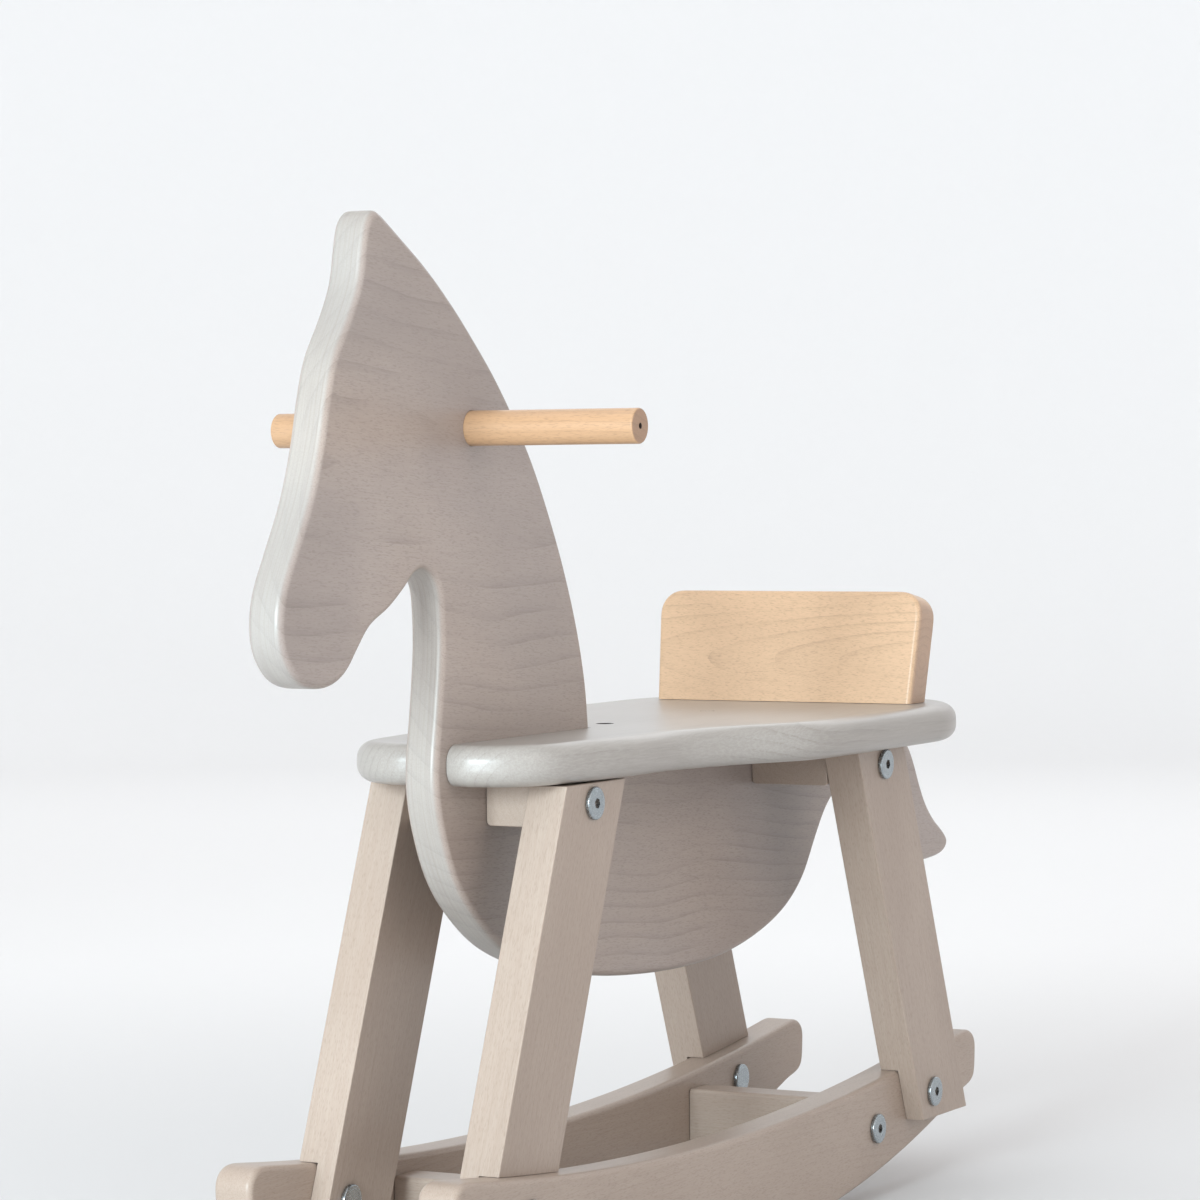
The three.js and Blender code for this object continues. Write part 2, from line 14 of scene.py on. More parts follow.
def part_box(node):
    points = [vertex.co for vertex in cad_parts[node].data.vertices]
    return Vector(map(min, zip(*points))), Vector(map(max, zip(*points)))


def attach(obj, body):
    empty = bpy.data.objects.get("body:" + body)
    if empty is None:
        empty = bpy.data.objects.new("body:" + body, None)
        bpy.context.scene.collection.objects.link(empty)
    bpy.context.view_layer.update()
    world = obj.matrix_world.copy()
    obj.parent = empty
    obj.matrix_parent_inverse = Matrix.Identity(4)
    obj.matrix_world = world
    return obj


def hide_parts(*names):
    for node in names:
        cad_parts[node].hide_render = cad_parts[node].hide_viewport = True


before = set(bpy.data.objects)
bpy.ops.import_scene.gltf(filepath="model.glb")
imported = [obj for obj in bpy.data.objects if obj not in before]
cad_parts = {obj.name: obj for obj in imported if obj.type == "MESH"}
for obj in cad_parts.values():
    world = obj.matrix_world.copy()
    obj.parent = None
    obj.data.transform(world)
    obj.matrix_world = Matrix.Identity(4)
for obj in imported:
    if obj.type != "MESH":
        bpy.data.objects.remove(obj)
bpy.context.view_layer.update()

MM = 0.001
X, Y, Z = 0, 1, 2
SIDES = ("left", "right")
ENDS = ("front", "rear")

OUTLINE_STEP = 2.5 * MM
STRAIGHT_RATIO = 3          # an outline segment this much longer than the next one is straight
SAME_POINT = 0.01 * MM
GAP = 0.3 * MM              # between a piece and the hole or slot that it passes through
OVERSHOOT = 5 * MM          # how far a cutter reaches past the faces that it cuts through
CUTTER_EDGE = 0.1 * MM      # the small bevel of a cutter's own rim
NEAR_WALL = 0.1 * MM        # a face this close to a drilled hole's wall belongs to the hole
BUMP_HEIGHT = 0.05 * MM

# The rounding of each board's long edges.
BODY_EDGE = 5 * MM
SEAT_EDGE = 11 * MM
BACKREST_EDGE = 4 * MM
ROCKER_EDGE = 4 * MM
LEG_EDGE = 2.5 * MM
LEG_CORNER = 1 * MM
BLOCK_CORNER = 3 * MM
SAWN_EDGE = 0.8 * MM

# How far below its face each CAD board has its full outline, clear of its bevelled edge.
BODY_OUTLINE_DEPTH = 3 * MM
SEAT_OUTLINE_DEPTH = 12 * MM
BACKREST_OUTLINE_DEPTH = 3 * MM
ROCKER_OUTLINE_DEPTH = 2 * MM
LEG_OUTLINE_DEPTH = 2 * MM

BACKREST_LEAN = math.radians(10.2)
LEG_LEAN = math.radians(21.4)

SEAT_HOLE_RADIUS = {"front": 6 * MM, "rear": 5 * MM}
SEAT_HOLE_DEPTH = 6 * MM
HANDLE_MARK_RADIUS = 1.9 * MM
HANDLE_MARK_DEPTH = 14 * MM
COUNTERBORE_RADIUS = 4.8 * MM
RAIL_BORE_RADIUS = 6.3 * MM

HEAD_HEIGHT = 2.8 * MM
BOLT_SHANK_RADIUS = 4 * MM
NUT_SHANK_RADIUS = 5 * MM
SOCKET_ACROSS = 6 * MM
SOCKET_DEPTH = 4.5 * MM
SCREW_SHANK_RADIUS = 2 * MM
SCREW_HEAD_DEPTH = 2.8 * MM
SCREW_PLAIN = 6 * MM        # the length without rings, under the face and before the tip
SCREW_TAPER = 5 * MM
RING_PITCH = 1.8 * MM


# ---------------------------------------------------------------- outlines from the CAD nodes

def middle(node):
    low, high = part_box(node)
    return (low + high) / 2


def chain_at(node, axis, level, turn=None):
    """The node's edges in the plane axis = level, as one ordered list of points."""
    bm = bmesh.new()
    bm.from_mesh(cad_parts[node].data)
    if turn:
        bm.transform(turn)
    bmesh.ops.remove_doubles(bm, verts=bm.verts, dist=SAME_POINT)
    links = {}
    for edge in bm.edges:
        a, b = edge.verts
        if abs(a.co[axis] - level) < SAME_POINT and abs(b.co[axis] - level) < SAME_POINT:
            links.setdefault(a, []).append(b)
            links.setdefault(b, []).append(a)
    ends = [v for v, near in links.items() if len(near) == 1]
    here = ends[0] if ends else next(iter(links))
    chain, seen = [], set()
    while here is not None:
        chain.append(here.co.copy())
        seen.add(here)
        here = next((v for v in links[here] if v not in seen), None)
    bm.free()
    return chain


def area_of(points):
    """Twice the signed area of a closed outline, above zero when it runs anticlockwise."""
    return sum(a[0] * b[1] - b[0] * a[1] for a, b in zip(points, points[1:] + points[:1]))


def anticlockwise(points):
    return points if area_of(points) > 0 else points[::-1]


def turn_at(before, here, after):
    """How far an outline turns at a point, in degrees."""
    return math.degrees((here - before).angle(after - here, 0.0))


def run_through(points, step):
    """A smooth run of points through the given ones, about a step apart, without the last one."""
    count = len(points)
    tangents = []
    for i, point in enumerate(points):
        before = points[max(i - 1, 0)]
        after = points[min(i + 1, count - 1)]
        d0 = max((point - before).length, 1e-9)
        d1 = max((after - point).length, 1e-9)
        if i == 0 or i == count - 1:
            tangents.append((after - before).normalized())
        elif max(d0, d1) > STRAIGHT_RATIO * min(d0, d1):
            tangents.append(((point - before) if d0 > d1 else (after - point)).normalized())
        else:
            tangents.append(((point - before) / d0 * d1 + (after - point) / d1 * d0) / (d0 + d1))
    run = []
    for i in range(count - 1):
        a, b = points[i], points[i + 1]
        chord = (b - a).length
        pieces = max(1, round(chord / step))
        for k in range(pieces):
            t = k / pieces
            run.append(
                a * (2 * t**3 - 3 * t**2 + 1)
                + tangents[i] * chord * (t**3 - 2 * t**2 + t)
                + b * (3 * t**2 - 2 * t**3)
                + tangents[i + 1] * chord * (t**3 - t**2)
            )
    return run


def relaxed(points, fixed, passes=4):
    """Evens out the small waves of a closed outline, and keeps the fixed points."""
    for _ in range(passes):
        moved = []
        for i, point in enumerate(points):
            neighbours = (points[i - 1] + points[(i + 1) % len(points)]) / 2
            moved.append(point if i in fixed else point.lerp(neighbours, 0.5))
        points = moved
    return points


def smooth_outline(points, corner_deg=35, step=OUTLINE_STEP):
    """A fine closed outline through coarse points, with a sharp corner only where they turn hard."""
    count = len(points)
    corners = [
        i for i in range(count)
        if turn_at(points[i - 1], points[i], points[(i + 1) % count]) > corner_deg
    ]
    if not corners:
        wrapped = points[-3:] + points + points[:3]
        fine = run_through(wrapped, step)
        start = len(run_through(points[-3:] + points[:1], step))
        end = len(fine) - len(run_through([points[-1]] + points[:3], step))
        return relaxed(fine[start:end + 1], set())
    fine, fixed = [], set()
    for corner, following in zip(corners, corners[1:] + [corners[0] + count]):
        fixed.add(len(fine))
        run = [points[i % count] for i in range(corner, following + 1)]
        fine += run_through(run, step)
    return relaxed(fine, fixed)


def filleted(points, radius, steps=6):
    """A closed polygon with each corner replaced by an arc."""
    result = []
    for i, corner in enumerate(points):
        back = (points[i - 1] - corner).normalized()
        on = (points[(i + 1) % len(points)] - corner).normalized()
        half = back.angle(on) / 2
        reach = radius / math.tan(half)
        centre = corner + (back + on).normalized() * radius / math.sin(half)
        start = (corner + back * reach - centre).normalized()
        end = (corner + on * reach - centre).normalized()
        for k in range(steps + 1):
            result.append(centre + start.slerp(end, k / steps) * radius)
    return result


def rectangle(u0, u1, v0, v1):
    return [Vector((u0, v0)), Vector((u1, v0)), Vector((u1, v1)), Vector((u0, v1))]


# ---------------------------------------------------------------- meshes

def inward_steps(outline, radius):
    """At each point, the way to a parallel outline further in, and how far a rounding may go."""
    count = len(outline)
    directions, limits = [], []
    for i, here in enumerate(outline):
        before, after = outline[i - 1], outline[(i + 1) % count]
        into = (here - before).normalized()
        out = (after - here).normalized()
        normal = Vector((-(into + out).y, (into + out).x)).normalized()
        half_turn = into.angle_signed(out) / -2
        directions.append(normal / max(math.cos(half_turn), 0.5))
        chord = (here - before).length + (after - here).length
        # On an outward curve the rounding stays under the curve's own radius.
        sharp = abs(half_turn) > math.radians(15)
        curve = chord / 4 / max(half_turn, 1e-6) if half_turn > 0 and not sharp else 1.0
        limits.append(min(radius, 0.85 * curve))
    reach = 6
    eased = []
    for i in range(count):
        near = [limits[(i + k) % count] for k in range(-reach, reach + 1)]
        eased.append(min(near))
    spread = []
    for i in range(count):
        near = [eased[(i + k) % count] for k in range(-reach, reach + 1)]
        spread.append(sum(near) / len(near))
    return directions, spread


def plate(outline, low, high, radius, place, steps=7):
    """A board between two levels with rounded edges. place(u, v, level) gives the 3-D point."""
    outline = anticlockwise([Vector(p) for p in outline])
    directions, radii = inward_steps(outline, radius)
    rings = []
    for k in range(steps + 1):
        angle = math.pi / 2 * k / steps
        rings.append((1 - math.sin(angle), 1 - math.cos(angle)))
    bm = bmesh.new()
    made = []
    for top in (False, True):
        for inset, rise in reversed(rings) if top else rings:
            ring = []
            for point, way, r in zip(outline, directions, radii):
                moved = point + way * (r * inset)
                level = high - r * rise if top else low + r * rise
                ring.append(bm.verts.new(place(moved.x, moved.y, level)))
            made.append(ring)
    for lower, upper in zip(made, made[1:]):
        for i in range(len(lower)):
            j = (i + 1) % len(lower)
            bm.faces.new((lower[i], lower[j], upper[j], upper[i]))
    bm.faces.new(made[0][::-1])
    bm.faces.new(made[-1])
    bmesh.ops.recalc_face_normals(bm, faces=bm.faces)
    return bm


def along_x(u, v, level):
    return Vector((level, u, v))


def along_y(u, v, level):
    return Vector((u, level, v))


def along_z(u, v, level):
    return Vector((u, v, level))


def turned(profile, start, axis, steps=64):
    """A turned piece: the profile is (radius, distance) pairs from a start point along an axis."""
    axis = axis.normalized()
    side = axis.orthogonal().normalized()
    across = axis.cross(side)
    bm = bmesh.new()
    rings = []
    for radius, distance in profile:
        centre = start + axis * distance
        if radius < 1e-7:
            rings.append([bm.verts.new(centre)])
            continue
        ring = []
        for i in range(steps):
            angle = 2 * math.pi * i / steps
            ring.append(bm.verts.new(
                centre + side * radius * math.cos(angle) + across * radius * math.sin(angle)
            ))
        rings.append(ring)
    for lower, upper in zip(rings, rings[1:]):
        for i in range(steps):
            j = (i + 1) % steps
            corners = [
                lower[i % len(lower)], lower[j % len(lower)],
                upper[j % len(upper)], upper[i % len(upper)],
            ]
            distinct = list(dict.fromkeys(corners))
            if len(distinct) > 2:
                bm.faces.new(distinct)
    bmesh.ops.recalc_face_normals(bm, faces=bm.faces)
    return bm


def cylinder(start, end, radius, steps=48):
    axis = end - start
    return turned([(0, 0), (radius, 0), (radius, axis.length), (0, axis.length)], start, axis, steps)


def joined(pieces):
    bm = bmesh.new()
    for piece in pieces:
        mesh = bpy.data.meshes.new("part")
        piece.to_mesh(mesh)
        piece.free()
        bm.from_mesh(mesh)
        bpy.data.meshes.remove(mesh)
    return bm


def object_from(bm, name):
    mesh = bpy.data.meshes.new(name)
    bm.to_mesh(mesh)
    bm.free()
    piece = bpy.data.objects.new(name, mesh)
    bpy.context.scene.collection.objects.link(piece)
    return piece


def cut_away(bm, cutters):
    """The solid with the other solids cut out of it."""
    piece = object_from(bm, "workpiece")
    cutter = object_from(joined(cutters), "cutter")
    modifier = piece.modifiers.new("cut", "BOOLEAN")
    modifier.operation = "DIFFERENCE"
    modifier.solver = "EXACT"
    modifier.object = cutter
    evaluated = piece.evaluated_get(bpy.context.evaluated_depsgraph_get())
    result = bmesh.new()
    result.from_mesh(evaluated.to_mesh())
    evaluated.to_mesh_clear()
    for helper in (piece, cutter):
        mesh = helper.data
        bpy.data.objects.remove(helper)
        bpy.data.meshes.remove(mesh)
    return result


def add_piece(name, bm, material, nodes, sharp_deg=32):
    """Puts a finished solid in the scene in place of its CAD nodes."""
    piece = object_from(bm, name)
    piece.data.polygons.foreach_set("use_smooth", [True] * len(piece.data.polygons))
    piece.data.set_sharp_from_angle(angle=math.radians(sharp_deg))
    piece.data.materials.append(material)
    normals = piece.modifiers.new("face_normals", "WEIGHTED_NORMAL")
    normals.keep_sharp = True
    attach(piece, "root")
    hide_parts(*nodes)
    return piece


# ---------------------------------------------------------------- material nodes

class Tree:
    """A material's node tree, with short ways to add and join nodes."""

    def __init__(self, name):
        self.material = bpy.data.materials.new(name)
        self.material.use_nodes = True
        self.nodes = self.material.node_tree.nodes
        self.links = self.material.node_tree.links
        self.nodes.clear()
        self.shader = self.nodes.new("ShaderNodeBsdfPrincipled")
        output = self.nodes.new("ShaderNodeOutputMaterial")
        self.links.new(self.shader.outputs["BSDF"], output.inputs["Surface"])

    def put(self, socket, value):
        if isinstance(value, bpy.types.NodeSocket):
            self.links.new(value, socket)
        else:
            socket.default_value = value

    def add(self, kind, inputs, **settings):
        node = self.nodes.new(kind)
        for key, value in settings.items():
            setattr(node, key, value)
        for key, value in inputs.items():
            self.put(node.inputs[key], value)
        return node

    def coordinates(self, turn=(0, 0, 0), scale=(1, 1, 1), offset=(0, 0, 0)):
        place = self.add("ShaderNodeTexCoord", {}).outputs["Object"]
        turned_place = self.add(
            "ShaderNodeMapping", {"Vector": place, "Rotation": turn, "Location": offset}
        )
        stretched = self.add(
            "ShaderNodeMapping", {"Vector": turned_place.outputs["Vector"], "Scale": scale}
        )
        return stretched.outputs["Vector"]

    def scaled(self, vector, scale):
        return self.add("ShaderNodeMapping", {"Vector": vector, "Scale": scale}).outputs["Vector"]

    def noise(self, vector, scale=1.0, detail=2.0, roughness=0.5, distortion=0.0):
        node = self.add("ShaderNodeTexNoise", {
            "Vector": vector,
            "Scale": scale,
            "Detail": detail,
            "Roughness": roughness,
            "Distortion": distortion,
        })
        return node.outputs["Fac"]

    def ramp(self, value, low, high, to_low=0.0, to_high=1.0):
        node = self.add("ShaderNodeMapRange", {
            "Value": value,
            "From Min": low,
            "From Max": high,
            "To Min": to_low,
            "To Max": to_high,
        }, interpolation_type="SMOOTHSTEP")
        return node.outputs["Result"]

    def math(self, operation, a, b=0.0):
        return self.add("ShaderNodeMath", {0: a, 1: b}, operation=operation).outputs["Value"]

    def mix(self, factor, a, b, blend="MIX"):
        node = self.nodes.new("ShaderNodeMix")
        node.data_type = "RGBA"
        node.blend_type = blend
        self.put(node.inputs[0], factor)
        self.put(node.inputs[6], a)
        self.put(node.inputs[7], b)
        return node.outputs[2]

    def normal_along(self, axis, turn=(0, 0, 0)):
        """How much the surface faces along an axis of the turned coordinates, from 0 to 1."""
        normal = self.add("ShaderNodeTexCoord", {}).outputs["Normal"]
        turned_normal = self.add("ShaderNodeMapping", {"Vector": normal, "Rotation": turn})
        parts = self.add("ShaderNodeSeparateXYZ", {"Vector": turned_normal.outputs["Vector"]})
        return self.math("ABSOLUTE", parts.outputs[axis])

    def bump(self, height, strength, distance):
        node = self.add("ShaderNodeBump", {
            "Height": height,
            "Strength": strength,
            "Distance": distance,
        })
        self.links.new(node.outputs["Normal"], self.shader.inputs["Normal"])

    def finish(self, colour, roughness, **uniform):
        self.put(self.shader.inputs["Base Color"], colour)
        self.put(self.shader.inputs["Roughness"], roughness)
        for key, value in uniform.items():
            self.shader.inputs[key.replace("_", " ")].default_value = value
        return self.material


def rgb(red, green, blue):
    """A colour given the way screens give it, from 0 to 255, as linear light."""
    def linear(value):
        share = value / 255
        return share / 12.92 if share <= 0.04045 else ((share + 0.055) / 1.055) ** 2.4
    return (linear(red), linear(green), linear(blue), 1.0)


def shade(colour, factor):
    return tuple(part * factor for part in colour[:3]) + (1.0,)


# ---------------------------------------------------------------- wood

WAVE_LENGTH = 2 * math.pi / 20      # of the wave texture at scale 1
LAYER = 3.1 * MM                    # the thickness of one layer of the plywood
END_GRAIN_TONE = (0.76, 0.76, 0.84, 1)
PALE_BEECH = rgb(206, 171, 138)
WARM_BEECH = rgb(191, 152, 117)


def heart_at(turn, spot):
    """The offset of the coordinates that brings the middle of the growth rings to a spot."""
    return -(Euler(turn).to_matrix() @ Vector(spot))


def wood(name, turn, base, dark, light, *, offset, ring_gap, figure, flecks, gloss, coat,
         waviness, fleck_colour=None, patches=0.0, ply=False, dark_ends=False, relief=0.3,
         coat_roughness=0.25):
    """Planed and lacquered wood whose grain runs along X once the coordinates are turned."""
    t = Tree(name)
    place = t.coordinates(turn=turn, offset=offset)
    lines = ring_lines(t, place, ring_gap, waviness)
    colour = t.mix(t.math("MULTIPLY", lines, figure), base, dark)

    # Long fibres, and the slow change of tone from one part of the board to the next.
    fibres = t.noise(t.scaled(place, (35, 900, 900)), detail=2.0, roughness=0.6)
    colour = t.mix(t.ramp(fibres, 0.35, 0.7, 0.0, 0.4), colour, light)
    clouds = t.noise(t.scaled(place, (5, 12, 12)), detail=2.0, distortion=0.4)
    colour = t.mix(t.ramp(clouds, 0.3, 0.7, 0.0, 0.28), colour, dark)
    if patches:
        colour = with_patches(t, place, colour, patches)

    # Short dark rays, a few millimetres long.
    rays = t.noise(t.scaled(place, (260, 1700, 1700)), detail=1.0, roughness=0.4)
    rays = t.ramp(rays, 0.5, 0.75, 0.0, flecks)
    colour = t.mix(rays, colour, fleck_colour or dark)

    if ply:
        colour = with_layers_and_edge_light(t, colour, dark)
    if dark_ends:
        ends = t.ramp(t.normal_along(X, turn), 0.7, 0.97)
        colour = t.mix(ends, colour, END_GRAIN_TONE, blend="MULTIPLY")
    height = t.math("SUBTRACT", t.math("MULTIPLY", fibres, 0.6), t.math("MULTIPLY", rays, 0.7))
    t.bump(height, relief, BUMP_HEIGHT)
    roughness = t.ramp(fibres, 0.3, 0.8, gloss - 0.04, gloss + 0.06)
    return t.finish(
        colour, roughness, Coat_Weight=coat, Coat_Roughness=coat_roughness, IOR=1.45
    )


def ring_lines(t, place, ring_gap, waviness):
    """Growth rings: cylinders round an axis along the grain, bent by slow noise."""
    bend = t.noise(t.scaled(place, (2.5, 7, 7)), detail=3.0, roughness=0.4)
    sway = t.noise(t.scaled(place, (3.5, 5, 5)), detail=2.0)
    shift = t.add("ShaderNodeCombineXYZ", {
        "Y": t.math("MULTIPLY", bend, 0.05 * waviness),
        "Z": t.math("MULTIPLY", sway, 0.07 * waviness),
    })
    bent = t.add("ShaderNodeVectorMath", {0: place, 1: shift.outputs["Vector"]}, operation="ADD")
    rings = t.add("ShaderNodeTexWave", {
        "Vector": t.scaled(bent.outputs["Vector"], (0.05, 1, 1)),
        "Scale": WAVE_LENGTH / ring_gap,
        "Distortion": 0.9,
        "Detail": 3.0,
        "Detail Scale": 1.5,
        "Detail Roughness": 0.6,
    }, wave_type="RINGS", rings_direction="X", wave_profile="SAW")
    lines = t.math("POWER", rings.outputs["Fac"], 5.0)
    fading = t.ramp(t.noise(t.scaled(place, (9, 22, 22)), detail=2.0), 0.35, 0.65)
    return t.math("MULTIPLY", lines, fading)


def with_patches(t, place, colour, strength):
    """Broad areas where the veneer takes the stain lighter or darker, ragged along the grain."""
    slanted = t.add("ShaderNodeMapping", {"Vector": place, "Rotation": (0.6, 0, 0.5)})
    field = t.noise(t.scaled(slanted.outputs["Vector"], (4, 7, 7)), detail=1.0, roughness=0.3)
    ragged = t.noise(t.scaled(place, (30, 160, 160)), detail=2.0)
    field = t.math("ADD", field, t.math("MULTIPLY", ragged, 0.05))
    dusk = t.ramp(field, 0.50, 0.60, 0.0, strength)
    cool = t.mix(dusk, colour, (0.86, 0.87, 0.90, 1), blend="MULTIPLY")
    glow = t.ramp(field, 0.38, 0.50, strength * 0.6, 0.0)
    return t.mix(glow, cool, (1.08, 1.02, 0.95, 1), blend="MULTIPLY")


def with_layers_and_edge_light(t, colour, dark):
    """The plywood's layers and their faint joints, seen only on the board's edges, over a cool
    grey-green tint there that is painted light for the cool light on the edges.
    """
    on_edge = t.ramp(t.normal_along(X), 0.25, 0.8, 1.0, 0.0)
    across = t.add("ShaderNodeSeparateXYZ", {"Vector": t.coordinates()}).outputs[X]
    wobble = t.math("MULTIPLY", t.noise(t.coordinates(scale=(8, 30, 30))), 1.5 * MM)
    layer = t.math("FRACT", t.math("DIVIDE", t.math("ADD", across, wobble), LAYER))
    line = t.ramp(t.math("ABSOLUTE", t.math("SUBTRACT", layer, 0.5)), 0.0, 0.2, 0.14, 0.0)
    streaks = t.noise(t.coordinates(scale=(700, 12, 12)), detail=2.0)
    line = t.math("ADD", line, t.ramp(streaks, 0.4, 0.7, 0.0, 0.16))
    # Painted light: the edges take a cool grey-green tint that stands in for the cool light falling
    # on them.
    edge_light_tint = t.mix(t.math("MULTIPLY", on_edge, 0.4), colour, rgb(160, 163, 160))
    return t.mix(t.math("MULTIPLY", line, on_edge), edge_light_tint, dark)


def stained_plywood():
    return wood(
        "stained_plywood", (math.radians(4), 0, math.radians(-90)),
        rgb(169, 154, 146), rgb(134, 121, 114), rgb(180, 167, 158),
        offset=(0.35, 0.12, -0.52), ring_gap=10 * MM, figure=0.6, flecks=0.45,
        patches=0.5, gloss=0.42, ply=True, coat=0.25, waviness=0.7,
    )


def stained_seat():
    return wood(
        "stained_seat", (0, 0, math.radians(-90)),
        rgb(161, 154, 148), rgb(132, 124, 117), rgb(182, 177, 172),
        offset=(0.1, 0.07, -0.3), ring_gap=6 * MM, figure=0.7, flecks=0.16,
        gloss=0.36, coat=0.45, relief=0.01, waviness=0.6, coat_roughness=0.34,
    )


def painted_hole_shade(name):
    """The wall of a drilled hole in dark brown: painted shade for the shadowed inside of the hole.
    """
    t = Tree(name)
    place = t.coordinates()
    hole_mottle = t.noise(t.scaled(place, (400, 400, 900)), detail=2.0)
    # Painted shade: dark browns that make the inside of the hole read as shadowed.
    colour = t.mix(hole_mottle, rgb(52, 44, 38), rgb(78, 66, 58))
    t.bump(hole_mottle, 0.2, BUMP_HEIGHT)
    return t.finish(colour, t.ramp(hole_mottle, 0.3, 0.7, 0.7, 0.85))


def stained_beech(name, turn, offset):
    return wood(
        name, turn, rgb(170, 152, 139), rgb(146, 127, 113), rgb(181, 166, 154),
        offset=offset, ring_gap=5 * MM, figure=0.3, flecks=0.3,
        fleck_colour=rgb(129, 110, 96), gloss=0.42, coat=0.15, waviness=0.4,
    )


def natural_beech(name, turn, offset, base, figure=0.6):
    return wood(
        name, turn, base, shade(base, 0.68), shade(base, 1.15),
        offset=offset, ring_gap=6 * MM, figure=figure, flecks=0.42,
        fleck_colour=shade(base, 0.52), gloss=0.42, coat=0.2, waviness=0.3, dark_ends=True,
    )


def zinc():
    """Zinc-plated steel: grey, slightly blue, with fine turning marks and a little mottling."""
    t = Tree("zinc_steel")
    place = t.coordinates()
    mottle = t.noise(place, scale=900, detail=3.0)
    marks = t.noise(t.scaled(place, (3000, 300, 300)), detail=2.0)
    colour = t.mix(mottle, rgb(140, 148, 152), rgb(180, 186, 190))
    t.bump(marks, 0.15, BUMP_HEIGHT)
    return t.finish(colour, t.ramp(mottle, 0.3, 0.7, 0.18, 0.3), Metallic=1.0)


# ---------------------------------------------------------------- boards

def bores_for(nodes, radius, reach=1 * MM):
    """Cylinders round upright fasteners, reaching below them by a given length."""
    result = []
    for node in nodes:
        low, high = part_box(node)
        centre = middle(node)
        start = Vector((centre.x, centre.y, low.z - reach))
        end = Vector((centre.x, centre.y, high.z))
        result.append(cylinder(start, end, radius))
    return result


def body_board():
    low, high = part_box("body_board")
    chain = chain_at("body_board", X, high.x - BODY_OUTLINE_DEPTH)
    outline = smooth_outline([p.yz for p in chain], corner_deg=75)
    bm = plate(outline, low.x, high.x, BODY_EDGE, along_x)
    grip = middle("handle_rod")
    grip_low, grip_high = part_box("handle_rod")
    radius = (grip_high.z - grip_low.z) / 2 + GAP
    start = Vector((low.x - OVERSHOOT, grip.y, grip.z))
    end = Vector((high.x + OVERSHOOT, grip.y, grip.z))
    bm = cut_away(bm, [cylinder(start, end, radius, 96)])
    add_piece("body_board.visual", bm, stained_plywood(), ["body_board"])


def line_hole(bm, spot, axis, radius):
    """Gives the faces inside a drilled hole the piece's second material, the painted shade of the
    hole.
    """
    for face in bm.faces:
        across = (face.calc_center_median() - spot).cross(axis)
        if across.length < radius + NEAR_WALL:
            face.material_index = 1


def seat_board():
    low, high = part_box("seat_board")
    chain = chain_at("seat_board", Z, high.z - SEAT_OUTLINE_DEPTH)
    outline = smooth_outline([p.xy for p in chain], corner_deg=50)
    bm = plate(outline, low.z, high.z, SEAT_EDGE, along_z, steps=12)
    neck_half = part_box("body_board")[1].x + GAP
    margin = 10 * MM
    slot = plate(
        rectangle(-neck_half, neck_half, low.y - 2 * margin, slot_end(neck_half)),
        low.z - margin, high.z + margin, CUTTER_EDGE, along_z, steps=1,
    )
    cutters = [slot]
    for end, radius in SEAT_HOLE_RADIUS.items():
        spot = middle(f"seat_screw_{end}")
        floor = Vector((spot.x, spot.y, high.z - SEAT_HOLE_DEPTH))
        above = Vector((spot.x, spot.y, high.z + OVERSHOOT))
        cutters.append(cylinder(floor, above, radius))
    bm = cut_away(bm, cutters)
    for end, radius in SEAT_HOLE_RADIUS.items():
        line_hole(bm, middle(f"seat_screw_{end}"), Vector((0, 0, 1)), radius)
    material = stained_seat()
    seat = add_piece("seat_board.visual", bm, material, ["seat_board"])
    # The second material is painted shade for the inside of the two holes.
    seat.data.materials.append(painted_hole_shade("seat_hole"))
    seat_plug(material)


def seat_plug(material):
    low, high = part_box("seat_plug")
    radius = (high.x - low.x) / 2
    edge = 0.3 * MM
    height = high.z - low.z
    profile = [(0, 0), (radius, 0), (radius, height - edge), (radius - edge, height), (0, height)]
    centre = middle("seat_plug")
    bm = turned(profile, Vector((centre.x, centre.y, low.z)), Vector((0, 0, 1)), 48)
    add_piece("seat_plug.visual", bm, material, ["seat_plug"])


def slot_end(neck_half):
    """How far back the slot for the neck reaches, from the seat's points on the slot's walls."""
    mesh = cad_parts["seat_board"].data
    return max(v.co.y for v in mesh.vertices if abs(abs(v.co.x) - neck_half) < 0.05 * MM)


def backrest_board():
    low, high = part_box("backrest")
    upright = Matrix.Rotation(BACKREST_LEAN, 4, "X")
    bm = bmesh.new()
    bm.from_mesh(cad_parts["backrest"].data)
    bm.transform(upright)
    front = min(v.co.y for v in bm.verts)
    back = max(v.co.y for v in bm.verts)
    bm.free()
    chain = chain_at("backrest", Y, front + BACKREST_OUTLINE_DEPTH, turn=upright)
    points = [Vector((p.x, p.z)) for p in chain]
    down = Vector((0, -15 * MM))
    outline = smooth_outline([points[0] + down] + points + [points[-1] + down], corner_deg=50)
    solid = plate(outline, front, back, BACKREST_EDGE, along_y)
    solid.transform(upright.inverted())
    bmesh.ops.recalc_face_normals(solid, faces=solid.faces)
    # The foot is planed level, so that the leaning board stands flat on the seat.
    margin = 30 * MM
    below = rectangle(low.x - margin, high.x + margin, low.y - margin, high.y + margin)
    solid = cut_away(solid, [plate(below, low.z - margin, low.z, CUTTER_EDGE, along_z, steps=1)])
    # The heart of the tree lay behind the board and at a slant, which draws long V shapes.
    turn = (0, 0, math.radians(7))
    heart = ((low.x + high.x) / 2, low.y + 38 * MM, (low.z + high.z) / 2)
    material = natural_beech("backrest_beech", turn, heart_at(turn, heart), PALE_BEECH, 0.75)
    add_piece("backrest.visual", solid, material, ["backrest"])


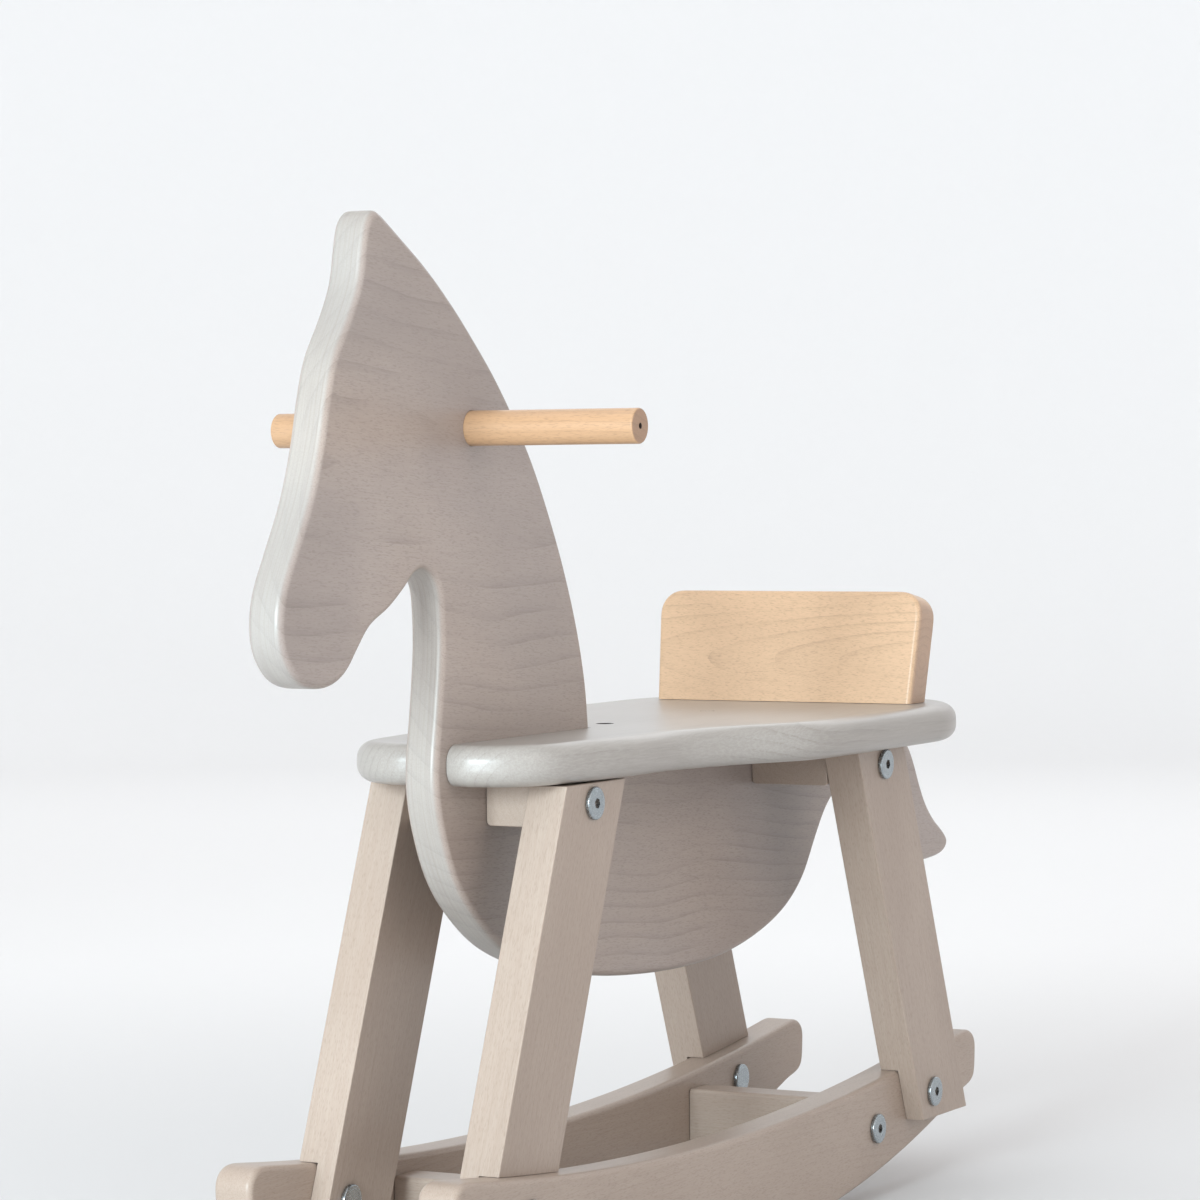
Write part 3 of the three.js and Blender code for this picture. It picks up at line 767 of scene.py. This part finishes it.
def handle_rod():
    low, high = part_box("handle_rod")
    radius = (high.z - low.z) / 2
    centre = middle("handle_rod")
    length = high.x - low.x
    edge = 1.2 * MM
    rounding = []
    for k in range(7):
        angle = math.pi / 2 * k / 6
        rounding.append((radius - edge + edge * math.sin(angle), edge - edge * math.cos(angle)))
    mark = [
        (0, HANDLE_MARK_DEPTH),
        (HANDLE_MARK_RADIUS, HANDLE_MARK_DEPTH),
        (HANDLE_MARK_RADIUS, 0),
    ]
    half = mark + rounding
    other = [(r, length - d) for r, d in reversed(half)]
    bm = turned(half + other, Vector((low.x, centre.y, centre.z)), Vector((1, 0, 0)), 96)
    material = natural_beech("handle_beech", (0, 0, 0), (0.02, 0.4, -0.1), WARM_BEECH)
    line_hole(bm, centre, Vector((1, 0, 0)), HANDLE_MARK_RADIUS)
    rod = add_piece("handle_rod.visual", bm, material, ["handle_rod"])
    # The second material is painted shade for the inside of the holes at both ends.
    rod.data.materials.append(painted_hole_shade("handle_hole"))


def rocker_outline(side):
    """The rocker's smooth outline, with nothing below the floor."""
    low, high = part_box(f"rocker_{side}")
    chain = chain_at(f"rocker_{side}", X, high.x - ROCKER_OUTLINE_DEPTH)
    outline = smooth_outline([p.yz for p in chain], corner_deg=62)
    return [Vector((p.x, max(p.y, low.z))) for p in anticlockwise(outline)]


def rockers(material):
    for side in SIDES:
        low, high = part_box(f"rocker_{side}")
        bm = plate(rocker_outline(side), low.x, high.x, ROCKER_EDGE, along_x)
        add_piece(f"rocker_{side}.visual", bm, material, [f"rocker_{side}"])


def legs():
    for end in ENDS:
        lean = LEG_LEAN if end == "front" else -LEG_LEAN
        for side in SIDES:
            node = f"{end}_leg_{side}"
            low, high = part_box(node)
            # The side of the leg away from the rocker has the whole outline.
            if (end == "front") == (side == "left"):
                plain = low.x + LEG_OUTLINE_DEPTH
            else:
                plain = high.x - LEG_OUTLINE_DEPTH
            chain = [p.yz for p in chain_at(node, X, plain)]
            count = len(chain)
            corners = [
                chain[i] for i in range(count)
                if turn_at(chain[i - 1], chain[i], chain[(i + 1) % count]) > 20
            ]
            outline = anticlockwise(filleted(corners, LEG_CORNER, 3))
            bm = plate(outline, low.x, high.x, LEG_EDGE, along_x, steps=5)
            bm = cut_away(bm, [lap_cutter(end, side, low, high)])
            material = stained_beech(f"{node}_wood", upright_grain(lean), leg_offset(end, side))
            add_piece(f"{node}.visual", bm, material, [node])


def upright_grain(lean):
    """Turns the coordinates so that a leaning leg's length becomes the grain's X."""
    to_upright = Matrix.Rotation(lean, 4, "X")
    to_grain = Matrix.Rotation(math.pi / 2, 4, "Y")
    return (to_grain @ to_upright).to_euler("XYZ")[:]


def leg_offset(end, side):
    """Takes each leg's grain from another part of the pattern."""
    return (
        0.31 if end == "front" else 0.87,
        0.011 if side == "left" else 0.043,
        0.23 if end == "front" else -0.17,
    )


def lap_cutter(end, side, low, high):
    """The rocker's own shape, slightly fuller, on the side of the leg that laps it."""
    rocker_low, rocker_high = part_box(f"rocker_{side}")
    outline = rocker_outline(side)
    directions, _ = inward_steps(outline, 0)
    fuller = [p - way * GAP for p, way in zip(outline, directions)]
    margin = 20 * MM
    toward_inside = (end == "rear") == (side == "left")
    if toward_inside:
        span = (low.x - margin, rocker_high.x + GAP)
    else:
        span = (rocker_low.x - GAP, high.x + margin)
    return plate(fuller, span[0], span[1], CUTTER_EDGE / 2, along_x, steps=1)


def blocks():
    for end in ENDS:
        for side in SIDES:
            node = f"{end}_block_{side}"
            low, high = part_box(node)
            outline = filleted(rectangle(low.x, high.x, low.z, high.z), BLOCK_CORNER)
            bm = plate(outline, low.y, high.y, SAWN_EDGE, along_y, steps=3)
            bm = cut_away(bm, bores_for([f"{end}_block_screw_{side}"], COUNTERBORE_RADIUS))
            offset = (0.2 if end == "front" else 0.5, 0.03, -0.33 if side == "left" else -0.29)
            material = stained_beech(f"{node}_wood", (0, 0, math.radians(-90)), offset)
            add_piece(f"{node}.visual", bm, material, [node])


def rails():
    for end in ENDS:
        node = f"{end}_rail"
        low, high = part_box(node)
        outline = filleted(rectangle(low.y, high.y, low.z, high.z), BLOCK_CORNER)
        bm = plate(outline, low.x, high.x, SAWN_EDGE, along_x, steps=3)
        nuts = [f"{end}_rail_nut_{side}" for side in SIDES]
        bm = cut_away(bm, bores_for(nuts, RAIL_BORE_RADIUS, reach=30 * MM))
        material = stained_beech(f"{node}_wood", (0, 0, 0), (0.1, 0.2 if end == "front" else 0.4, 0))
        add_piece(f"{node}.visual", bm, material, [node])


# ---------------------------------------------------------------- fasteners

def hex_socket(start, axis, across, depth):
    """A hexagonal pit with a drilled point, to be cut out of a bolt's head."""
    radius = across / math.sqrt(3)
    above = 1 * MM
    profile = [(0, -above), (radius, -above), (radius, depth), (0, depth + radius / 2)]
    return turned(profile, start, axis, 6)


def bolt_head_profile(radius, height, shank_radius, shank_length):
    """From the middle of the head's face, over its rounded rim, to the end of the shank.

    A faint raised ring runs round the face, inside the rim.
    """
    rim = 1.1 * MM
    ring, ring_half, ring_rise = radius - 3.0 * MM, 0.4 * MM, 0.12 * MM
    profile = [(0, 0), (ring - ring_half, 0), (ring, -ring_rise), (ring + ring_half, 0)]
    for k in range(6):
        angle = math.pi / 2 * k / 5
        profile.append((radius - rim + rim * math.sin(angle), rim - rim * math.cos(angle)))
    profile += [(radius, height - 0.3 * MM), (radius - 0.3 * MM, height), (shank_radius, height)]
    tip = 0.8 * MM
    length = height + shank_length
    profile += [(shank_radius, length - tip), (shank_radius - tip, length), (0, length)]
    return profile


def flat_headed(node, material, outward, socket):
    """A connector bolt or cap nut along X whose flat head faces the outward side."""
    low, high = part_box(node)
    centre = middle(node)
    head_radius = (high.z - low.z) / 2
    face = high.x if outward > 0 else low.x
    start = Vector((face, centre.y, centre.z))
    axis = Vector((-outward, 0, 0))
    shank = BOLT_SHANK_RADIUS if socket else NUT_SHANK_RADIUS
    length = high.x - low.x - HEAD_HEIGHT
    bm = turned(bolt_head_profile(head_radius, HEAD_HEIGHT, shank, length), start, axis)
    if socket:
        bm = cut_away(bm, [hex_socket(start, axis, SOCKET_ACROSS, SOCKET_DEPTH)])
    add_piece(f"{node}.visual", bm, material, [node])


def flat_bolts(material):
    for side, outward in zip(SIDES, (1, -1)):
        for end in ENDS:
            flat_headed(f"{end}_leg_bolt_{side}", material, outward, True)
            flat_headed(f"{end}_rocker_bolt_{side}", material, outward, True)
            flat_headed(f"{end}_rocker_nut_{side}", material, -outward, False)
            flat_headed(f"{end}_rail_bolt_{side}", material, outward, True)


def wood_screw(node, material, head_up):
    """A countersunk screw with a cross recess, and with rings that stand for its thread."""
    low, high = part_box(node)
    centre = middle(node)
    radius = (high.x - low.x) / 2
    length = high.z - low.z
    core = SCREW_SHANK_RADIUS - 0.5 * MM
    crest = SCREW_SHANK_RADIUS + 0.2 * MM
    rim_width, rim_depth = 0.2 * MM, 0.3 * MM
    profile = [(0, 0), (radius - rim_width, 0), (radius, rim_depth)]
    profile += [(SCREW_SHANK_RADIUS, SCREW_HEAD_DEPTH)]
    at = SCREW_PLAIN
    while at < length - SCREW_PLAIN:
        profile += [(core, at), (crest, at + RING_PITCH / 2)]
        at += RING_PITCH
    profile += [(core, length - SCREW_TAPER), (0, length)]
    axis = Vector((0, 0, -1 if head_up else 1))
    start = Vector((centre.x, centre.y, high.z if head_up else low.z))
    bm = turned(profile, start, axis, 32)
    for half_width, half_height in ((2.4 * MM, 0.5 * MM), (0.5 * MM, 2.4 * MM)):
        bm = cut_away(bm, [recess_arm(start, axis, half_width, half_height)])
    add_piece(f"{node}.visual", bm, material, [node])


def recess_arm(start, axis, half_width, half_height):
    """One arm of the cross in a screw's head."""
    above, depth = 1 * MM, 1.8 * MM
    low, high = sorted((start.z - axis.z * above, start.z + axis.z * depth))
    outline = rectangle(
        start.x - half_width, start.x + half_width,
        start.y - half_height, start.y + half_height,
    )
    return plate(outline, low, high, CUTTER_EDGE, along_z, steps=1)


def wood_screws(material):
    for side in SIDES:
        wood_screw(f"backrest_screw_{side}", material, False)
        for end in ENDS:
            wood_screw(f"{end}_block_screw_{side}", material, False)
    for end in ENDS:
        wood_screw(f"seat_screw_{end}", material, True)


def hidden_pieces(metal):
    """The nuts and pins inside the wood keep their CAD shape and take a finished material."""
    pin_wood = natural_beech("pin_beech", (0, 0, 0), (0.3, 0.1, 0.2), WARM_BEECH)
    for name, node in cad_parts.items():
        if name.endswith("sleeve_nut") or "rail_nut" in name:
            node.data.materials.clear()
            node.data.materials.append(metal)
        if "rocker_pin" in name:
            node.data.materials.clear()
            node.data.materials.append(pin_wood)


# ---------------------------------------------------------------- studio

def backdrop():
    """A round pale floor that curves up into a wall, so that no horizon shows from any side."""
    floor_radius, bend, wall = 4.5, 1.5, 4.0
    profile = [(0, 0), (floor_radius, 0)]
    for k in range(1, 17):
        angle = math.pi / 2 * k / 16
        profile.append((floor_radius + bend * math.sin(angle), bend - bend * math.cos(angle)))
    profile.append((floor_radius + bend, wall))
    bm = turned(profile, Vector((0, 0, 0)), Vector((0, 0, 1)), 128)
    for face in bm.faces:
        face.normal_flip()
    floor = object_from(bm, "floor")
    floor.data.polygons.foreach_set("use_smooth", [True] * len(floor.data.polygons))
    t = Tree("paper")
    grain = t.noise(t.coordinates(), scale=60, detail=2.0)
    distance = t.add(
        "ShaderNodeVectorMath", {0: t.coordinates()}, operation="LENGTH"
    ).outputs["Value"]
    floor_tone = t.mix(grain, (0.85, 0.845, 0.85, 1), (0.86, 0.855, 0.86, 1))
    wall_tone = t.mix(grain, (0.935, 0.93, 0.935, 1), (0.945, 0.94, 0.945, 1))
    colour = t.mix(t.ramp(distance, 2.4, floor_radius), floor_tone, wall_tone)
    # A little darker near the horse, where the lights are strongest, so that it looks even.
    near = t.ramp(distance, 0.5, 1.8, 1.0, 0.0)
    colour = t.mix(near, colour, (0.7, 0.695, 0.7, 1))
    t.bump(grain, 0.02, 1 * MM)
    floor.data.materials.append(t.finish(colour, 0.9))


def soft_light(name, place, target, size, power, colour):
    data = bpy.data.lights.new(name, "AREA")
    data.shape = "RECTANGLE"
    data.size, data.size_y = size
    data.energy = power
    data.color = colour
    light = bpy.data.objects.new(name, data)
    light.location = place
    light.rotation_euler = (Vector(target) - Vector(place)).to_track_quat("-Z", "Y").to_euler()
    light.visible_camera = False
    bpy.context.scene.collection.objects.link(light)


def lights():
    world = bpy.data.worlds.new("studio")
    world.use_nodes = True
    background = world.node_tree.nodes["Background"]
    background.inputs["Color"].default_value = (1.0, 0.995, 0.99, 1)
    background.inputs["Strength"].default_value = 0.8
    bpy.context.scene.world = world
    soft_light("key", (0.1, -3.4, 0.95), (0, 0, 0.4), (1.2, 1.2), 132, (0.78, 0.92, 0.98))
    soft_light("top", (-0.6, -0.4, 3.2), (0, 0, 0.3), (1.4, 1.4), 10, (1.0, 1.0, 1.0))
    soft_light("back", (-0.8, 3.2, 2.4), (0, 0, 0.3), (3.5, 1.6), 20, (0.95, 0.98, 1.0))
    soft_light("warm_fill", (2.6, -0.6, 1.8), (0, 0, 0.4), (1.6, 1.6), 8, (1.0, 0.88, 0.78))


def camera():
    """The photograph's viewpoint: left front of the horse, a little above the seat."""
    azimuth = math.radians(28.404)
    pitch = math.radians(1.807)
    roll = math.radians(-0.546)
    ahead = Vector((
        -math.sin(azimuth) * math.cos(pitch),
        math.cos(azimuth) * math.cos(pitch),
        -math.sin(pitch),
    ))
    level_right = Vector((math.cos(azimuth), math.sin(azimuth), 0))
    level_up = level_right.cross(ahead)
    right = level_right * math.cos(roll) + level_up * math.sin(roll)
    up = level_up * math.cos(roll) - level_right * math.sin(roll)
    data = bpy.data.cameras.new("camera")
    data.sensor_width = 36
    data.lens = 126.02
    data.clip_end = 50
    view = bpy.data.objects.new("camera", data)
    view.matrix_world = Matrix.Translation((1.3223, -2.5124, 0.5199)) @ Matrix((
        (right.x, up.x, -ahead.x, 0),
        (right.y, up.y, -ahead.y, 0),
        (right.z, up.z, -ahead.z, 0),
        (0, 0, 0, 1),
    ))
    bpy.context.scene.collection.objects.link(view)
    bpy.context.scene.camera = view


# ---------------------------------------------------------------- the whole scene

bpy.context.scene.view_settings.view_transform = "Standard"
body_board()
seat_board()
backrest_board()
handle_rod()
rockers(stained_beech("rocker_wood", (0, 0, math.radians(-90)), (0.4, 0.2, 0.15)))
legs()
blocks()
rails()
steel = zinc()
flat_bolts(steel)
wood_screws(steel)
hidden_pieces(steel)
backdrop()
lights()
camera()
